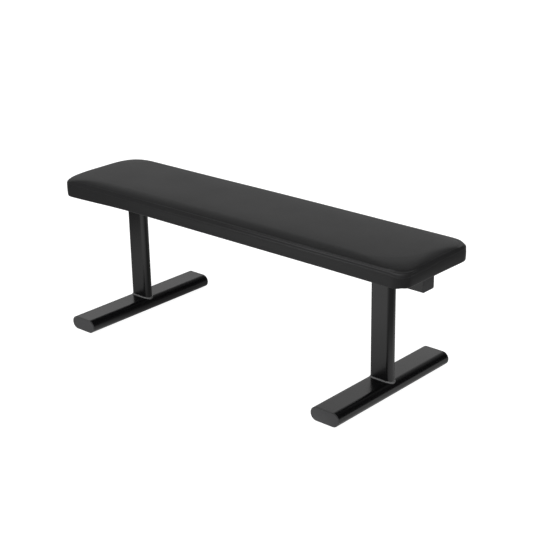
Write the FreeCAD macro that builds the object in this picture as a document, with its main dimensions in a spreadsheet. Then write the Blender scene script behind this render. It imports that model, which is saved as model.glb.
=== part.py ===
import FreeCAD, Part
import math
import os
import Sketcher

# A fixed flat weight bench: one long cushion on a square spine tube, two flat posts and two flat-oval
# floor tubes. +X runs along the cushion, +Z is up, and the origin is on the floor under the middle.

DIMENSIONS = {
    # floor tubes (feet), across the bench
    "foot_length": 500,
    "foot_width": 94,
    "foot_height": 40,
    "foot_spacing": 952,
    "tube_wall": 2,
    # moulded caps in the open tube ends
    "cap_flange": 4,
    "cap_edge": 1,
    "plug_depth": 18,
    "plug_wall": 2.5,
    "plug_gap": 0.2,
    # rubber pads under the feet, and the screw in each
    "rubber_length": 50,
    "rubber_width": 36,
    "rubber_thick": 3,
    "rubber_corner": 8,
    "rubber_setback": 16,
    "screw_shank": 5,
    "screw_head": 10,
    "screw_head_depth": 1.8,
    "screw_head_thick": 1.4,
    "screw_reach": 6,
    # posts
    "post_depth": 73,
    "post_width": 30,
    "post_corner": 14.5,
    "weld_leg": 4.5,
    "weld_edge": 0.3,
    # spine
    "spine_side": 50,
    "spine_corner": 5,
    "spine_length": 1238,
    "spine_bottom": 335.5,
    "spine_flange": 3,
    # cross plates that carry the cushion
    "plate_length": 60,
    "plate_width": 216,
    "plate_thick": 4,
    "plate_corner": 12,
    "plate_spacing": 420,
    "plate_hole": 9,
    "bolt_spacing": 176,
    "plate_weld": 44,
    "plate_weld_radius": 4,
    "plate_weld_out": 0.5,
    "plate_weld_down": 3.5,
    # bolts, washers and T-nuts
    "bolt_shank": 8,
    "bolt_flats": 13,
    "bolt_head": 5.3,
    "bolt_reach": 15.5,
    "sheet_hole": 12,
    "washer_hole": 8.4,
    "washer_outer": 16,
    "washer_thick": 1.6,
    "nut_flange": 22,
    "nut_flange_thick": 1.5,
    "nut_barrel": 10,
    "nut_barrel_length": 9,
    "nut_bore": 8.2,
    "nut_prong": 6,
    "nut_prong_wide": 1.6,
    "nut_prong_circle": 19.6,
    # cushion
    "pad_length": 1295,
    "pad_width": 306,
    "pad_depth": 54,
    "pad_corner": 38,
    "top_run": 38,
    "top_drop": 22,
    "corner_gain": 2,
    "bottom_round": 4,
    "skin": 1.5,
    "board_thick": 12,
    "board_inset": 6,
    "hem_inset": 30,
    "sheet_thick": 1,
    "sheet_inset": 14,
    "sheet_gap": 0.2,
    "sheet_step": 4,
    "seam_height": 35.5,
    "seam_pitch": 2.8,
    "seam_bead": 1.6,
    "seam_proud": 0.7,
    "seam_root": 2,
    # staples
    "staple_wire": 1,
    "staple_crown": 10,
    "staple_leg": 9,
    "staple_inset": 21,
    "staple_row_long": 1180,
    "staple_row_short": 190,
}

LONG_ROW_STAPLES = 24
SHORT_ROW_STAPLES = 5
ORIGIN = FreeCAD.Vector(0, 0, 0)
UP = FreeCAD.Vector(0, 0, 1)
QUARTER_TURN = math.pi / 2

doc = FreeCAD.newDocument("flat_bench")
sheet = doc.addObject("Spreadsheet::Sheet", "Dims")
for row, (alias, value) in enumerate(DIMENSIONS.items(), start=1):
    sheet.set(f"A{row}", alias)
    sheet.set(f"B{row}", str(value))
    sheet.setAlias(f"B{row}", alias)
doc.recompute()

# Levels that several parts share, written as sheet expressions.
SPINE_TOP = "Dims.spine_bottom + Dims.spine_side"
PLATE_TOP = f"{SPINE_TOP} + Dims.plate_thick"
BOARD_BOTTOM = f"{PLATE_TOP} + Dims.sheet_thick"
PAD_BASE = f"{BOARD_BOTTOM} - Dims.skin"
SHEET_BOTTOM = f"{PAD_BASE} - Dims.sheet_thick"
FOOT_AXIS = "Dims.rubber_thick + Dims.foot_height / 2"
RUBBER_Y = "Dims.foot_length / 2 - Dims.rubber_setback - Dims.rubber_width / 2"

sub_parts = []


def node(obj, name):
    """Name a finished sub-part, and list it to be written."""
    obj.Label = name
    sub_parts.append(obj)
    return obj


def new_body(label):
    body = doc.addObject("PartDesign::Body", "Body")
    body.Label = label
    return body


def place(obj, x="0", y="0", z="0"):
    for axis, expression in zip("xyz", (x, y, z)):
        obj.setExpression(f"Placement.Base.{axis}", expression)


def turn(obj, axis, degrees):
    obj.Placement = FreeCAD.Placement(ORIGIN, FreeCAD.Rotation(axis, degrees))


def new_sketch(body, plane, height="0"):
    """An empty sketch on one of the body's own origin planes, raised off it by height."""
    sketch = body.newObject("Sketcher::SketchObject", "Sketch")
    face = next(f for f in body.Origin.OriginFeatures if f.Role == plane)
    sketch.AttachmentSupport = [(face, "")]
    sketch.MapMode = "FlatFace"
    sketch.setExpression("AttachmentOffset.Base.z", height)
    return sketch


def bind(sketch, kind, geometry, expression):
    """Add a dimension to the sketch and tie it to the sheet."""
    value = float(sketch.evalExpression(expression))
    index = sketch.addConstraint(Sketcher.Constraint(kind, *geometry, value))
    sketch.setExpression(f"Constraints[{index}]", expression)


def corner_arc(x, y, radius, start):
    circle = Part.Circle(FreeCAD.Vector(x, y, 0), UP, radius)
    return Part.ArcOfCircle(circle, start, start + QUARTER_TURN)


def rounded_rectangle(sketch, width, height, radius):
    """A rectangle centred on the sketch's origin, with four equal rounded corners."""
    size_x = sketch.evalExpression(width) / 2
    size_y = sketch.evalExpression(height) / 2
    round_by = sketch.evalExpression(radius)
    flat_x = size_x - round_by
    flat_y = size_y - round_by
    ends = [
        ((-flat_x, -size_y), (flat_x, -size_y)),
        ((size_x, -flat_y), (size_x, flat_y)),
        ((flat_x, size_y), (-flat_x, size_y)),
        ((-size_x, flat_y), (-size_x, -flat_y)),
    ]
    centres = [(flat_x, -flat_y), (flat_x, flat_y), (-flat_x, flat_y), (-flat_x, -flat_y)]
    first = len(sketch.Geometry)
    for start, end in ends:
        line = Part.LineSegment(FreeCAD.Vector(*start, 0), FreeCAD.Vector(*end, 0))
        sketch.addGeometry(line)
    for corner, (x, y) in enumerate(centres):
        sketch.addGeometry(corner_arc(x, y, round_by, (corner - 1) * QUARTER_TURN))
    lines = [first + i for i in range(4)]
    arcs = [first + 4 + i for i in range(4)]
    for i in range(4):
        sketch.addConstraint(Sketcher.Constraint("Tangent", lines[i], 2, arcs[i], 1))
        sketch.addConstraint(Sketcher.Constraint("Tangent", arcs[i], 2, lines[(i + 1) % 4], 1))
    for i in range(3):
        sketch.addConstraint(Sketcher.Constraint("Equal", arcs[i], arcs[i + 1]))
    sketch.addConstraint(Sketcher.Constraint("Horizontal", lines[0]))
    sketch.addConstraint(Sketcher.Constraint("Symmetric", arcs[0], 3, arcs[2], 3, -1, 1))
    bind(sketch, "DistanceX", (lines[3], 1, lines[1], 1), width)
    bind(sketch, "DistanceY", (lines[0], 1, lines[2], 1), height)
    bind(sketch, "Radius", (arcs[0],), radius)


def obround(sketch, width, height):
    """A flat oval centred on the sketch's origin: two straight sides and two half circles."""
    radius = sketch.evalExpression(height) / 2
    flat = sketch.evalExpression(width) / 2 - radius
    first = len(sketch.Geometry)
    for side in (-1, 1):
        start = FreeCAD.Vector(side * flat, side * radius, 0)
        sketch.addGeometry(Part.LineSegment(start, start - FreeCAD.Vector(side * 2 * flat, 0, 0)))
    for side in (1, -1):
        circle = Part.Circle(FreeCAD.Vector(side * flat, 0, 0), UP, radius)
        start = -side * QUARTER_TURN
        sketch.addGeometry(Part.ArcOfCircle(circle, start, start + math.pi))
    bottom, top, right, left = (first + i for i in range(4))
    joints = [(bottom, 2, right, 1), (right, 2, top, 1), (top, 2, left, 1), (left, 2, bottom, 1)]
    for joint in joints:
        sketch.addConstraint(Sketcher.Constraint("Tangent", *joint))
    sketch.addConstraint(Sketcher.Constraint("Horizontal", bottom))
    sketch.addConstraint(Sketcher.Constraint("Equal", right, left))
    sketch.addConstraint(Sketcher.Constraint("Symmetric", right, 3, left, 3, -1, 1))
    bind(sketch, "DistanceX", (left, 3, right, 3), f"{width} - ({height})")
    bind(sketch, "Radius", (right,), f"({height}) / 2")


def circle_at(sketch, diameter, x="0", y="0"):
    centre = FreeCAD.Vector(sketch.evalExpression(x), sketch.evalExpression(y), 0)
    index = sketch.addGeometry(Part.Circle(centre, UP, sketch.evalExpression(diameter) / 2))
    bind(sketch, "Diameter", (index,), diameter)
    for kind, offset in (("DistanceX", x), ("DistanceY", y)):
        if offset == "0":
            other_axis = -2 if kind == "DistanceX" else -1
            sketch.addConstraint(Sketcher.Constraint("PointOnObject", index, 3, other_axis))
        else:
            bind(sketch, kind, (-1, 1, index, 3), offset)


def pad(body, sketch, length, midplane=False, reverse=False):
    feature = body.newObject("PartDesign::Pad", "Pad")
    feature.Profile = sketch
    feature.SideType = "Symmetric" if midplane else "One side"
    feature.Reversed = reverse
    feature.setExpression("Length", length)
    return feature


def pocket_through(body, sketch):
    """Cut the sketch right through the body, both ways."""
    feature = body.newObject("PartDesign::Pocket", "Pocket")
    feature.Profile = sketch
    feature.SideType = "Symmetric"
    feature.Type = "ThroughAll"
    return feature


def pocket(body, sketch, depth, reverse=False):
    feature = body.newObject("PartDesign::Pocket", "Pocket")
    feature.Profile = sketch
    feature.Reversed = reverse
    feature.setExpression("Length", depth)
    return feature


def round_edges(body, base, faces, radius):
    """Round the edges of the faces that the test picks from the base feature."""
    doc.recompute()
    names = [f"Face{i}" for i, face in enumerate(base.Shape.Faces, start=1) if faces(face)]
    fillet = body.newObject("PartDesign::Fillet", "Fillet")
    fillet.Base = (base, names)
    fillet.setExpression("Radius", radius)
    return fillet


def cut(base, *tools):
    """The base with the tools taken out of it."""
    result = base
    for tool in tools:
        difference = doc.addObject("Part::Cut", "Cut")
        difference.Base = result
        difference.Tool = tool
        result = difference
    return result


def group(pieces, name):
    """Identical separate solids that share one sub-part."""
    compound = doc.addObject("Part::Compound", "Group")
    compound.Links = pieces
    return node(compound, name)


# ---------------------------------------------------------------- floor tubes

def foot_tube(name, side):
    body = new_body(name)
    section = new_sketch(body, "XZ_Plane")
    obround(section, "Dims.foot_width", "Dims.foot_height")
    obround(section, "Dims.foot_width - 2 * Dims.tube_wall", "Dims.foot_height - 2 * Dims.tube_wall")
    pad(body, section, "Dims.foot_length - 2 * Dims.cap_flange", midplane=True)
    screws = new_sketch(body, "XY_Plane")
    for end in ("", "-"):
        circle_at(screws, "Dims.screw_shank + Dims.plug_gap", y=f"{end}({RUBBER_Y})")
    pocket(body, screws, "Dims.foot_height")
    place(body, f"{side} * Dims.foot_spacing / 2", z=FOOT_AXIS)
    return node(body, name)


def foot_cap(name, side, end):
    """A flange with the tube's own outline, and a hollow plug that goes into the tube."""
    body = new_body(name)
    flange_sketch = new_sketch(body, "XZ_Plane")
    obround(flange_sketch, "Dims.foot_width", "Dims.foot_height")
    flange = pad(body, flange_sketch, "Dims.cap_flange")
    round_edges(body, flange, lambda face: face.normalAt(0, 0).y < -0.9, "Dims.cap_edge")
    plug_sketch = new_sketch(body, "XZ_Plane")
    inside = "2 * Dims.tube_wall + Dims.plug_gap"
    hollow = f"{inside} + 2 * Dims.plug_wall"
    obround(plug_sketch, f"Dims.foot_width - ({inside})", f"Dims.foot_height - ({inside})")
    obround(plug_sketch, f"Dims.foot_width - ({hollow})", f"Dims.foot_height - ({hollow})")
    pad(body, plug_sketch, "Dims.plug_depth", reverse=True)
    if end > 0:
        turn(body, UP, 180)
    place(
        body,
        f"{side} * Dims.foot_spacing / 2",
        f"{end} * (Dims.foot_length / 2 - Dims.cap_flange)",
        FOOT_AXIS,
    )
    return node(body, name)


def foot_pad(name, side, end):
    body = new_body(name)
    outline = new_sketch(body, "XY_Plane")
    rounded_rectangle(outline, "Dims.rubber_length", "Dims.rubber_width", "Dims.rubber_corner")
    circle_at(outline, "Dims.screw_shank + Dims.plug_gap")
    pad(body, outline, "Dims.rubber_thick")
    recess = new_sketch(body, "XY_Plane")
    circle_at(recess, "Dims.screw_head + Dims.plug_gap")
    pocket(body, recess, "Dims.screw_head_depth", reverse=True)
    place(body, f"{side} * Dims.foot_spacing / 2", f"{end} * ({RUBBER_Y})")
    return node(body, name)


def foot_pad_screw(side, end):
    """A pan-head screw: its head is sunk in the rubber and its shank goes into the tube."""
    body = new_body("foot_pad_screw")
    shank = new_sketch(body, "XY_Plane")
    circle_at(shank, "Dims.screw_shank")
    pad(body, shank, "Dims.screw_reach + Dims.screw_head_thick")
    head = new_sketch(body, "XY_Plane")
    circle_at(head, "Dims.screw_head")
    pad(body, head, "Dims.screw_head_thick")
    height = "Dims.screw_head_depth - Dims.screw_head_thick"
    place(body, f"{side} * Dims.foot_spacing / 2", f"{end} * ({RUBBER_Y})", height)
    return body


# ---------------------------------------------------------------- posts and welds

def foot_outline_cut(body):
    """Shape the lower end of a post or its weld to the flat-oval tube below it."""
    saddle = new_sketch(body, "XZ_Plane")
    obround(saddle, "Dims.foot_width", "Dims.foot_height")
    return pocket_through(body, saddle)


def post(name, side):
    body = new_body(name)
    section = new_sketch(body, "XY_Plane")
    rounded_rectangle(section, "Dims.post_depth", "Dims.post_width", "Dims.post_corner")
    rounded_rectangle(
        section,
        "Dims.post_depth - 2 * Dims.tube_wall",
        "Dims.post_width - 2 * Dims.tube_wall",
        "Dims.post_corner - Dims.tube_wall",
    )
    pad(body, section, f"Dims.spine_bottom - ({FOOT_AXIS})")
    foot_outline_cut(body)
    place(body, f"{side} * Dims.foot_spacing / 2", z=FOOT_AXIS)
    return node(body, name)


def weld_ring(body, height, start):
    """A bead round a post: a low collar whose outer top edge is bevelled away."""
    section = new_sketch(body, "XY_Plane", start)
    grow = "2 * Dims.weld_leg"
    rounded_rectangle(
        section,
        f"Dims.post_depth + {grow}",
        f"Dims.post_width + {grow}",
        "Dims.post_corner + Dims.weld_leg",
    )
    rounded_rectangle(section, "Dims.post_depth", "Dims.post_width", "Dims.post_corner")
    ring = pad(body, section, height)
    doc.recompute()
    top = max(face.CenterOfMass.z for face in ring.Shape.Faces)
    outer = [
        f"Edge{i}"
        for i, edge in enumerate(ring.Shape.Edges, start=1)
        if abs(edge.BoundBox.ZMin - top) < 0.01
        and abs(edge.BoundBox.ZMax - top) < 0.01
        and outside_post(edge)
    ]
    bevel = body.newObject("PartDesign::Chamfer", "Chamfer")
    bevel.Base = (ring, outer)
    bevel.setExpression("Size", "Dims.weld_leg - Dims.weld_edge")
    return bevel


def outside_post(edge):
    """True for an edge of the weld's outer outline, false for one against the post."""
    middle = edge.valueAt((edge.FirstParameter + edge.LastParameter) / 2)
    beyond_x = abs(middle.x) - DIMENSIONS["post_depth"] / 2
    beyond_y = abs(middle.y) - DIMENSIONS["post_width"] / 2
    return max(beyond_x, beyond_y) > DIMENSIONS["weld_edge"]


def post_base_weld(side):
    body = new_body("post_base_weld")
    weld_ring(body, "Dims.foot_height / 2 + Dims.weld_leg", "0")
    foot_outline_cut(body)
    place(body, f"{side} * Dims.foot_spacing / 2", z=FOOT_AXIS)
    return body


def post_top_weld(side):
    body = new_body("post_top_weld")
    weld_ring(body, "Dims.weld_leg", "0")
    turn(body, FreeCAD.Vector(1, 0, 0), 180)
    place(body, f"{side} * Dims.foot_spacing / 2", z="Dims.spine_bottom")
    return body


# ---------------------------------------------------------------- spine and cross plates

def spine_tube():
    body = new_body("spine_tube")
    section = new_sketch(body, "YZ_Plane")
    side = "Dims.spine_side"
    inner = f"{side} - 2 * Dims.tube_wall"
    rounded_rectangle(section, side, side, "Dims.spine_corner")
    rounded_rectangle(section, inner, inner, "Dims.spine_corner - Dims.tube_wall")
    pad(body, section, "Dims.spine_length - 2 * Dims.spine_flange", midplane=True)
    place(body, z="Dims.spine_bottom + Dims.spine_side / 2")
    return node(body, "spine_tube")


def spine_cap(name, end):
    body = new_body(name)
    flange_sketch = new_sketch(body, "YZ_Plane")
    rounded_rectangle(flange_sketch, "Dims.spine_side", "Dims.spine_side", "Dims.spine_corner")
    flange = pad(body, flange_sketch, "Dims.spine_flange")
    round_edges(body, flange, lambda face: face.normalAt(0, 0).x > 0.9, "Dims.cap_edge")
    plug_sketch = new_sketch(body, "YZ_Plane")
    outer = "Dims.spine_side - 2 * Dims.tube_wall - Dims.plug_gap"
    inner = f"{outer} - 2 * Dims.plug_wall"
    rounded_rectangle(plug_sketch, outer, outer, "Dims.spine_corner - Dims.tube_wall")
    rounded_rectangle(plug_sketch, inner, inner, "Dims.cap_edge")
    pad(body, plug_sketch, "Dims.plug_depth", reverse=True)
    if end < 0:
        turn(body, UP, 180)
    place(
        body,
        f"{end} * (Dims.spine_length / 2 - Dims.spine_flange)",
        z="Dims.spine_bottom + Dims.spine_side / 2",
    )
    return node(body, name)


def pad_plate(name, position):
    body = new_body(name)
    outline = new_sketch(body, "XY_Plane")
    rounded_rectangle(outline, "Dims.plate_length", "Dims.plate_width", "Dims.plate_corner")
    for end in ("", "-"):
        circle_at(outline, "Dims.plate_hole", y=f"{end}Dims.bolt_spacing / 2")
    pad(body, outline, "Dims.plate_thick")
    place(body, f"{position} * Dims.plate_spacing", z=SPINE_TOP)
    return node(body, name)


def spine_envelope():
    """The spine's outer shape, filled in, as a cutting tool."""
    body = new_body("spine_envelope")
    section = new_sketch(body, "YZ_Plane")
    rounded_rectangle(section, "Dims.spine_side", "Dims.spine_side", "Dims.spine_corner")
    pad(body, section, "Dims.spine_length", midplane=True)
    place(body, z="Dims.spine_bottom + Dims.spine_side / 2")
    return body


def plate_weld_bead(position, side):
    """A round bead in the groove between the spine's upper edge and a cross plate."""
    bead = doc.addObject("Part::Cylinder", "PlateWeldBead")
    bead.setExpression("Radius", "Dims.plate_weld_radius")
    bead.setExpression("Height", "Dims.plate_weld")
    turn(bead, FreeCAD.Vector(0, 1, 0), 90)
    place(
        bead,
        f"{position} * Dims.plate_spacing - Dims.plate_weld / 2",
        f"{side} * (Dims.spine_side / 2 + Dims.plate_weld_out)",
        f"{SPINE_TOP} - Dims.plate_weld_down",
    )
    return bead


def plate_welds(plates):
    beads = doc.addObject("Part::Compound", "PlateWeldBeads")
    beads.Links = [plate_weld_bead(position, side) for position in (-1, 0, 1) for side in (-1, 1)]
    return node(cut(beads, spine_envelope(), *plates), "plate_welds")


# ---------------------------------------------------------------- bolts, washers and T-nuts

def for_each_bolt(make):
    """Make one fastener at each end of each cross plate."""
    pieces = []
    for position in (-1, 0, 1):
        for side in (-1, 1):
            piece = make()
            x = f"{position} * Dims.plate_spacing"
            y = f"{side} * Dims.bolt_spacing / 2"
            piece.setExpression("Placement.Base.x", x)
            piece.setExpression("Placement.Base.y", y)
            pieces.append(piece)
    return pieces


def bolt():
    body = new_body("bolt")
    shank = new_sketch(body, "XY_Plane")
    circle_at(shank, "Dims.bolt_shank")
    pad(body, shank, "Dims.bolt_reach + Dims.washer_thick")
    head = new_sketch(body, "XY_Plane")
    hexagon(head, "Dims.bolt_flats")
    pad(body, head, "Dims.bolt_head", reverse=True)
    place(body, z=f"{SPINE_TOP} - Dims.washer_thick")
    return body


def hexagon(sketch, flats):
    """A regular hexagon centred on the sketch's origin, measured across its flats."""
    radius = sketch.evalExpression(flats) / 3 ** 0.5
    corners = [FreeCAD.Vector(radius, 0, 0)]
    for step in range(1, 6):
        corners.append(FreeCAD.Rotation(UP, 60 * step).multVec(corners[0]))
    for start, end in zip(corners, corners[1:] + corners[:1]):
        sketch.addGeometry(Part.LineSegment(start, end))
    for i in range(6):
        sketch.addConstraint(Sketcher.Constraint("Coincident", i, 2, (i + 1) % 6, 1))
    guide = sketch.addGeometry(Part.Circle(ORIGIN, UP, radius), True)
    sketch.addConstraint(Sketcher.Constraint("Coincident", guide, 3, -1, 1))
    for i in range(6):
        sketch.addConstraint(Sketcher.Constraint("PointOnObject", i, 1, guide))
    for i in range(5):
        sketch.addConstraint(Sketcher.Constraint("Equal", i, i + 1))
    sketch.addConstraint(Sketcher.Constraint("PointOnObject", 0, 1, -1))
    bind(sketch, "Radius", (guide,), f"{flats} / sqrt(3)")


def washer():
    body = new_body("washer")
    outline = new_sketch(body, "XY_Plane")
    circle_at(outline, "Dims.washer_outer")
    circle_at(outline, "Dims.washer_hole")
    pad(body, outline, "Dims.washer_thick")
    place(body, z=f"{SPINE_TOP} - Dims.washer_thick")
    return body


def t_nut():
    """A flange let into the top of the board, a barrel through it, and four prongs."""
    body = new_body("t_nut")
    flange = new_sketch(body, "XY_Plane")
    circle_at(flange, "Dims.nut_flange")
    circle_at(flange, "Dims.nut_bore")
    pad(body, flange, "Dims.nut_flange_thick", reverse=True)
    barrel = new_sketch(body, "XY_Plane")
    circle_at(barrel, "Dims.nut_barrel")
    circle_at(barrel, "Dims.nut_bore")
    pad(body, barrel, "Dims.nut_barrel_length", reverse=True)
    prongs = new_sketch(body, "XY_Plane")
    for sign in ("", "-"):
        reach = f"{sign}Dims.nut_prong_circle / 2"
        circle_at(prongs, "Dims.nut_prong_wide", x=reach)
        circle_at(prongs, "Dims.nut_prong_wide", y=reach)
    pad(body, prongs, "Dims.nut_flange_thick + Dims.nut_prong", reverse=True)
    place(body, z=f"{BOARD_BOTTOM} + Dims.board_thick")
    return body


# ---------------------------------------------------------------- cushion

def cushion_form(label, inset):
    """The cushion's outer form, or the same form drawn in by inset all round.

    Its sections are rounded rectangles stacked upwards. The bottom edge is lightly rounded, the side
    is upright, and the top rolls over a quarter ellipse while the corners grow rounder.
    """
    body = new_body(label)
    levels = [
        ("0", "Dims.bottom_round * 0.7", "0"),
        ("Dims.bottom_round * 0.3", "Dims.bottom_round * 0.2", "0"),
    ]
    side_top = f"(Dims.pad_depth - 2 * {inset} - Dims.top_drop)"
    levels.append(("Dims.bottom_round", "0", "0"))
    for angle in (0, 20, 38, 54, 68, 80, 90):
        height = f"{side_top} + Dims.top_drop * sin({angle} deg)"
        run = f"Dims.top_run * (1 - cos({angle} deg))"
        levels.append((height, run, run))
    sketches = []
    for height, drawn_in, corner_run in levels:
        section = new_sketch(body, "XY_Plane", height)
        shrink = f"2 * ({drawn_in} + {inset})"
        rounded_rectangle(
            section,
            f"Dims.pad_length - {shrink}",
            f"Dims.pad_width - {shrink}",
            f"Dims.pad_corner - {inset} + Dims.corner_gain * {corner_run}",
        )
        sketches.append(section)
    loft = body.newObject("PartDesign::AdditiveLoft", "Loft")
    loft.Profile = sketches[0]
    loft.Sections = sketches[1:]
    loft.Ruled = True
    place(body, z=f"{PAD_BASE} + {inset}")
    return body


def flat_panel(label, inset, thick, z):
    """A flat panel with the cushion's outline drawn in by inset."""
    body = new_body(label)
    outline = new_sketch(body, "XY_Plane")
    rounded_rectangle(
        outline,
        f"Dims.pad_length - 2 * {inset}",
        f"Dims.pad_width - 2 * {inset}",
        f"max(Dims.pad_corner - {inset}; 6)",
    )
    pad(body, outline, thick)
    place(body, z=z)
    return body


def bolt_holes(diameter, height, z):
    holes = []
    for piece in for_each_bolt(lambda: doc.addObject("Part::Cylinder", "BoltHole")):
        piece.setExpression("Radius", f"{diameter} / 2")
        piece.setExpression("Height", height)
        piece.setExpression("Placement.Base.z", z)
        holes.append(piece)
    compound = doc.addObject("Part::Compound", "BoltHoles")
    compound.Links = holes
    return compound


def seam_ring(level):
    """One raised bead of the double seam that runs right round the cushion's side."""
    body = new_body("seam_ring")
    outline = new_sketch(body, "XY_Plane")
    for growth in ("+ Dims.seam_proud", "- Dims.seam_root"):
        rounded_rectangle(
            outline,
            f"Dims.pad_length + 2 * (0 {growth})",
            f"Dims.pad_width + 2 * (0 {growth})",
            f"Dims.pad_corner {growth}",
        )
    pad(body, outline, "Dims.seam_bead")
    place(body, z=f"{PAD_BASE} + Dims.seam_height + {level} * Dims.seam_pitch - Dims.seam_bead / 2")
    return body


def staple_row(along_x, count, row_length):
    """A straight row of evenly spaced staples."""
    body = new_body("staple_row")
    profile = new_sketch(body, "XZ_Plane" if along_x else "YZ_Plane")
    staple_outline(profile, row_length)
    first = pad(body, profile, "Dims.staple_wire", midplane=True)
    doc.recompute()
    pattern = body.newObject("PartDesign::LinearPattern", "Row")
    pattern.Originals = [first]
    pattern.Direction = (profile, ["H_Axis"])
    pattern.setExpression("Length", row_length)
    pattern.Occurrences = count
    body.Tip = pattern
    doc.recompute()
    return body


def staple_outline(sketch, row_length):
    """A U with a flat crown below and two legs up, at the start of its row."""
    crown = DIMENSIONS["staple_crown"] / 2
    wire = DIMENSIONS["staple_wire"]
    leg = DIMENSIONS["staple_leg"]
    corners = [
        (-crown, 0), (crown, 0), (crown, leg), (crown - wire, leg),
        (crown - wire, wire), (wire - crown, wire), (wire - crown, leg), (-crown, leg),
    ]
    start = -sketch.evalExpression(row_length) / 2
    points = [FreeCAD.Vector(x + start, z, 0) for x, z in corners]
    for begin, end in zip(points, points[1:] + points[:1]):
        sketch.addGeometry(Part.LineSegment(begin, end))
    count = len(points)
    for i in range(count):
        sketch.addConstraint(Sketcher.Constraint("Coincident", i, 2, (i + 1) % count, 1))
        sketch.addConstraint(Sketcher.Constraint("Horizontal" if i % 2 == 0 else "Vertical", i))
    sketch.addConstraint(Sketcher.Constraint("PointOnObject", 0, 1, -1))
    bind(sketch, "DistanceX", (0, 1, 0, 2), "Dims.staple_crown")
    bind(sketch, "DistanceX", (0, 1, -1, 1), f"({row_length} + Dims.staple_crown) / 2")
    bind(sketch, "DistanceX", (2, 2, 1, 2), "Dims.staple_wire")
    bind(sketch, "DistanceX", (7, 1, 5, 2), "Dims.staple_wire")
    bind(sketch, "DistanceY", (0, 2, 1, 2), "Dims.staple_leg")
    bind(sketch, "DistanceY", (0, 2, 3, 2), "Dims.staple_wire")
    sketch.addConstraint(Sketcher.Constraint("Horizontal", 1, 2, 7, 1))


# ---------------------------------------------------------------- assembly

def make_floor_frame():
    sides = (("left", -1), ("right", 1))
    ends = (("front", -1), ("back", 1))
    for side_name, side in sides:
        foot_tube(f"foot_tube_{side_name}", side)
        post(f"post_{side_name}", side)
        for end_name, end in ends:
            foot_cap(f"foot_cap_{side_name}_{end_name}", side, end)
            foot_pad(f"foot_pad_{side_name}_{end_name}", side, end)
    group([foot_pad_screw(side, end) for _, side in sides for _, end in ends], "foot_pad_screws")
    group([post_base_weld(side) for _, side in sides], "post_base_welds")
    group([post_top_weld(side) for _, side in sides], "post_top_welds")


def make_spine():
    spine_tube()
    spine_cap("spine_cap_left", -1)
    spine_cap("spine_cap_right", 1)
    places = (("left", -1), ("middle", 0), ("right", 1))
    plates = [pad_plate(f"pad_plate_{name}", position) for name, position in places]
    plate_welds(plates)


def make_fasteners():
    group(for_each_bolt(bolt), "pad_bolts")
    group(for_each_bolt(washer), "bolt_washers")
    return group(for_each_bolt(t_nut), "t_nuts")


def make_cushion(t_nuts):
    outer = cushion_form("cushion_outside", "0")
    inner = cushion_form("cushion_inside", "Dims.skin")
    board_blank = flat_panel("board_blank", "Dims.board_inset", "Dims.board_thick", BOARD_BOTTOM)
    opening = flat_panel("hem_opening", "Dims.hem_inset", "2 * Dims.skin", f"{PAD_BASE} - Dims.skin")
    node(cut(outer, inner, opening), "pad_cover")
    node(cut(inner, board_blank), "pad_foam")
    barrels = bolt_holes("Dims.nut_barrel", "Dims.board_thick", BOARD_BOTTOM)
    node(cut(board_blank, barrels, t_nuts), "pad_board")

    lip = flat_panel("sheet_lip", "Dims.sheet_inset", "Dims.sheet_thick", SHEET_BOTTOM)
    middle = flat_panel("sheet_middle", "(Dims.hem_inset + Dims.sheet_gap)", "Dims.skin", PAD_BASE)
    sheet_blank = doc.addObject("Part::Fuse", "SheetBlank")
    sheet_blank.Base = lip
    sheet_blank.Tool = middle
    recess = flat_panel("sheet_recess", "(Dims.hem_inset + Dims.sheet_step)", "Dims.skin", SHEET_BOTTOM)
    holes = bolt_holes("Dims.sheet_hole", "Dims.skin + Dims.sheet_thick", PAD_BASE)
    node(cut(sheet_blank, recess, holes), "dust_cover")

    beads = doc.addObject("Part::Compound", "SeamBeads")
    beads.Links = [seam_ring(level) for level in (-0.5, 0.5)]
    node(cut(beads, outer), "cover_seam")


def make_staples():
    rows = []
    height = f"{SHEET_BOTTOM} - Dims.staple_wire"
    for side in (-1, 1):
        row = staple_row(True, LONG_ROW_STAPLES, "Dims.staple_row_long")
        place(row, y=f"{side} * (Dims.pad_width / 2 - Dims.staple_inset)", z=height)
        rows.append(row)
        row = staple_row(False, SHORT_ROW_STAPLES, "Dims.staple_row_short")
        place(row, x=f"{side} * (Dims.pad_length / 2 - Dims.staple_inset)", z=height)
        rows.append(row)
    group(rows, "staples")


def check_and_write():
    """Stop on any failed feature or unsound shape, then write one file for each sub-part."""
    doc.recompute()
    failed = [obj.Label for obj in doc.Objects if {"Invalid", "Error"} & set(obj.State)]
    if failed:
        raise SystemExit(f"failed features: {failed}")
    unsound = [obj.Label for obj in sub_parts if obj.Shape.isNull() or not obj.Shape.isValid()]
    if unsound:
        raise SystemExit(f"unsound shapes: {unsound}")
    os.makedirs("parts", exist_ok=True)
    for obj in sub_parts:
        box = obj.Shape.BoundBox
        size = f"{box.XLength:.1f} x {box.YLength:.1f} x {box.ZLength:.1f} mm"
        print(f"{obj.Label}: {len(obj.Shape.Solids)} solids, {size}, {obj.Shape.Volume / 1000:.1f} cm3")
        obj.Shape.exportStep(f"parts/{obj.Label}.step")


make_floor_frame()
make_spine()
make_cushion(make_fasteners())
make_staples()
check_and_write()
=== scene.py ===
import math
from contextlib import contextmanager

import bmesh
import bpy
import numpy as np
from mathutils import Matrix, Vector
from mathutils.bvhtree import BVHTree


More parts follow.
